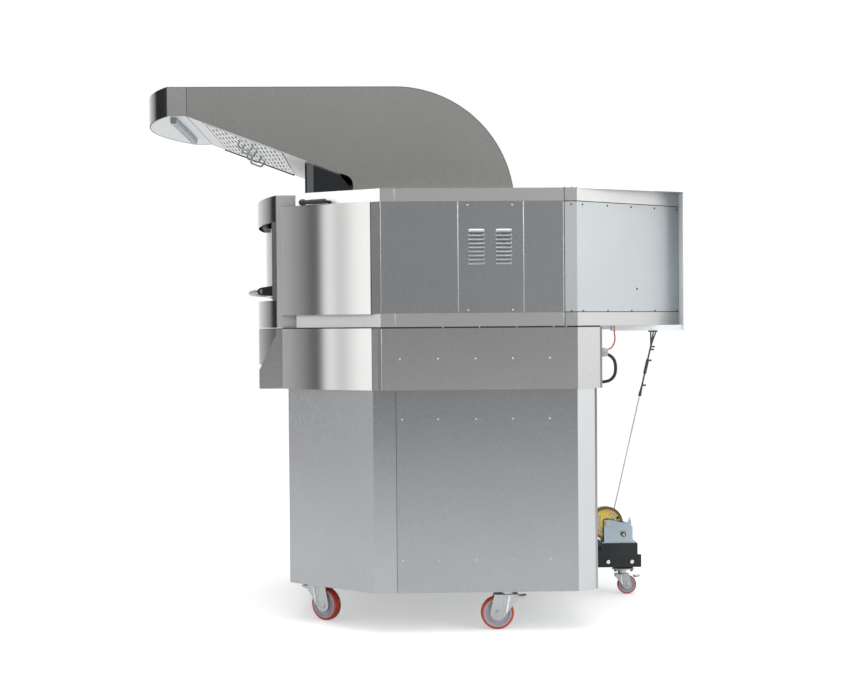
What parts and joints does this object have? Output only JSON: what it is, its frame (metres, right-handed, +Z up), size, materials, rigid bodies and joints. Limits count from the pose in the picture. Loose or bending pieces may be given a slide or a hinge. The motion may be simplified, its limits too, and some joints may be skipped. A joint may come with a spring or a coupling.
{
  "type": "pizza oven",
  "caption": "Floor-standing electric pizza deck oven with a bowed front door, a swept extraction hood over the mouth, a round rotating stone deck, braked castors and a rear hand winch.",
  "frame": {"origin": "centre of the overall bounding box at floor level, under the castors", "axes": "+X from the mouth to the rear box, -Y to the side with the damper lever and cable gland, +Z up"},
  "size_m": [2.1159, 1.51, 2.075],
  "materials": {
    "brushed_steel": "brushed",
    "polished_steel": "polished",
    "galvanised_steel": "galvanised",
    "lining_steel": "heat toned satin",
    "zinc_plate": "zinc plated",
    "yellow_zinc": "yellow zinc plated",
    "winch_zinc": "blue zinc plated",
    "handle_steel": "satin",
    "element_steel": "matt",
    "rope_steel": "stranded",
    "dark_paint": "satin",
    "motor_grey": "satin",
    "castor_tread": "satin",
    "lever_black": "satin",
    "gland_grey": "satin",
    "lamp_cover": "frosted",
    "cable_black": "satin",
    "cable_red": "satin",
    "stone": "matt"
  },
  "bodies": {
    "oven": {"base_frame": "galvanised_steel", "base_corner_panels": "brushed_steel", "base_side_panels": "brushed_steel", "base_front_panel": "brushed_steel", "base_rear_panel": "brushed_steel", "castor_plates": "zinc_plate", "band_frame": "galvanised_steel", "band_front_panels": "polished_steel", "band_side_panels": "brushed_steel", "band_rear_panel": "brushed_steel", "front_apron": "brushed_steel", "lower_rail": "brushed_steel", "chamber_lining": "lining_steel", "housing_front_panels": "polished_steel", "housing_side_panels": "brushed_steel", "louvre_panels": "brushed_steel", "rear_taper_panels": "brushed_steel", "rear_plate": "brushed_steel", "roof_cover": "brushed_steel", "front_frame": "brushed_steel", "mouth_surround": "polished_steel", "door_hinges": "zinc_plate", "gearmotor": "motor_grey", "heating_elements": "element_steel", "hood_shell": "brushed_steel", "hood_nose": "brushed_steel", "hood_filters": "brushed_steel", "hood_lamp": "lamp_cover", "flue_duct": "polished_steel", "cable_gland": "gland_grey", "supply_cable": "cable_black", "sensor_lead": "cable_red", "winch_bracket": "dark_paint", "winch_frame": "winch_zinc", "winch_rope": "rope_steel", "rope_sling": "cable_black"},
    "door": {"oven_door": "polished_steel", "door_handle": "handle_steel"},
    "deck": {"deck_stone": "stone", "deck_carrier": "galvanised_steel"},
    "damper": {"damper_lever": "lever_black"},
    "drum": {"winch_drum": "yellow_zinc", "rope_winding": "rope_steel"},
    "crank": {"winch_crank": "zinc_plate"},
    "pawl": {"winch_pawl": "zinc_plate"},
    "front_right_swivel": {"front_right_castor_fork": "zinc_plate"},
    "front_right_wheel": {"front_right_castor_wheel": "castor_tread"},
    "front_right_brake": {"front_right_castor_brake": "zinc_plate"},
    "front_left_swivel": {"front_left_castor_fork": "zinc_plate"},
    "front_left_wheel": {"front_left_castor_wheel": "castor_tread"},
    "front_left_brake": {"front_left_castor_brake": "zinc_plate"},
    "rear_right_swivel": {"rear_right_castor_fork": "zinc_plate"},
    "rear_right_wheel": {"rear_right_castor_wheel": "castor_tread"},
    "rear_right_brake": {"rear_right_castor_brake": "zinc_plate"},
    "rear_left_swivel": {"rear_left_castor_fork": "zinc_plate"},
    "rear_left_wheel": {"rear_left_castor_wheel": "castor_tread"},
    "rear_left_brake": {"rear_left_castor_brake": "zinc_plate"},
    "winch_swivel": {"winch_castor_fork": "zinc_plate"},
    "winch_wheel": {"winch_castor_wheel": "castor_tread"},
    "winch_brake": {"winch_castor_brake": "zinc_plate"}
  },
  "joints": [
    {"name": "door_hinge", "type": "hinge", "parent": "oven", "child": "door", "pos_m": [-0.572, 0, 1.541], "axis": [0, 1, 0], "range_deg": [0, 72]},
    {"name": "deck_spin", "type": "hinge", "parent": "oven", "child": "deck", "pos_m": [0.18, 0, 1.229], "axis": [0, 0, 1], "continuous": true},
    {"name": "damper_turn", "type": "hinge", "parent": "oven", "child": "damper", "pos_m": [-0.30742, -0.6536, 1.609], "axis": [-0.5208, -0.8537, 0], "range_deg": [0, 60]},
    {"name": "drum_spin", "type": "hinge", "parent": "oven", "child": "drum", "pos_m": [0.832, 0, 0.305], "axis": [0, 1, 0], "continuous": true},
    {"name": "crank_spin", "type": "hinge", "parent": "oven", "child": "crank", "pos_m": [0.89975, 0, 0.26016], "axis": [0, 1, 0], "continuous": true},
    {"name": "pawl_lift", "type": "hinge", "parent": "oven", "child": "pawl", "pos_m": [0.928, -0.043, 0.286], "axis": [0, -1, 0], "range_deg": [0, 20]},
    {"name": "front_right_swivel_turn", "type": "hinge", "parent": "oven", "child": "front_right_swivel", "pos_m": [-0.36055, -0.42591, 0.14], "axis": [0, 0, 1], "continuous": true},
    {"name": "front_right_wheel_roll", "type": "hinge", "parent": "front_right_swivel", "child": "front_right_wheel", "pos_m": [-0.331, -0.449, 0.0625], "axis": [-0.6157, -0.788, 0], "continuous": true},
    {"name": "front_right_brake_press", "type": "hinge", "parent": "front_right_swivel", "child": "front_right_brake", "pos_m": [-0.38813, -0.40436, 0.12225], "axis": [-0.6157, -0.788, 0], "range_deg": [0, 12]},
    {"name": "front_left_swivel_turn", "type": "hinge", "parent": "oven", "child": "front_left_swivel", "pos_m": [-0.36055, 0.42591, 0.14], "axis": [0, 0, 1], "continuous": true},
    {"name": "front_left_wheel_roll", "type": "hinge", "parent": "front_left_swivel", "child": "front_left_wheel", "pos_m": [-0.331, 0.449, 0.0625], "axis": [0.6157, -0.788, 0], "continuous": true},
    {"name": "front_left_brake_press", "type": "hinge", "parent": "front_left_swivel", "child": "front_left_brake", "pos_m": [-0.38813, 0.40436, 0.12225], "axis": [0.6157, -0.788, 0], "range_deg": [0, 12]},
    {"name": "rear_right_swivel_turn", "type": "hinge", "parent": "oven", "child": "rear_right_swivel", "pos_m": [0.3565, -0.655, 0.14], "axis": [0, 0, 1], "continuous": true},
    {"name": "rear_right_wheel_roll", "type": "hinge", "parent": "rear_right_swivel", "child": "rear_right_wheel", "pos_m": [0.319, -0.655, 0.0625], "axis": [0, 1, 0], "continuous": true},
    {"name": "rear_right_brake_press", "type": "hinge", "parent": "rear_right_swivel", "child": "rear_right_brake", "pos_m": [0.3915, -0.655, 0.12225], "axis": [0, 1, 0], "range_deg": [0, 12]},
    {"name": "rear_left_swivel_turn", "type": "hinge", "parent": "oven", "child": "rear_left_swivel", "pos_m": [0.3565, 0.655, 0.14], "axis": [0, 0, 1], "continuous": true},
    {"name": "rear_left_wheel_roll", "type": "hinge", "parent": "rear_left_swivel", "child": "rear_left_wheel", "pos_m": [0.319, 0.655, 0.0625], "axis": [0, 1, 0], "continuous": true},
    {"name": "rear_left_brake_press", "type": "hinge", "parent": "rear_left_swivel", "child": "rear_left_brake", "pos_m": [0.3915, 0.655, 0.12225], "axis": [0, 1, 0], "range_deg": [0, 12]},
    {"name": "winch_swivel_turn", "type": "hinge", "parent": "oven", "child": "winch_swivel", "pos_m": [0.902, 0, 0.1], "axis": [0, 0, 1], "continuous": true},
    {"name": "winch_wheel_roll", "type": "hinge", "parent": "winch_swivel", "child": "winch_wheel", "pos_m": [0.922, 0, 0.04], "axis": [0, -1, 0], "continuous": true},
    {"name": "winch_brake_press", "type": "hinge", "parent": "winch_swivel", "child": "winch_brake", "pos_m": [0.954, 0, 0.075], "axis": [0, 1, 0], "range_deg": [0, 12]}
  ],
  "couplings": [
    {"joint": "crank_spin", "follows": "drum_spin", "ratio": -3.3333}
  ]
}
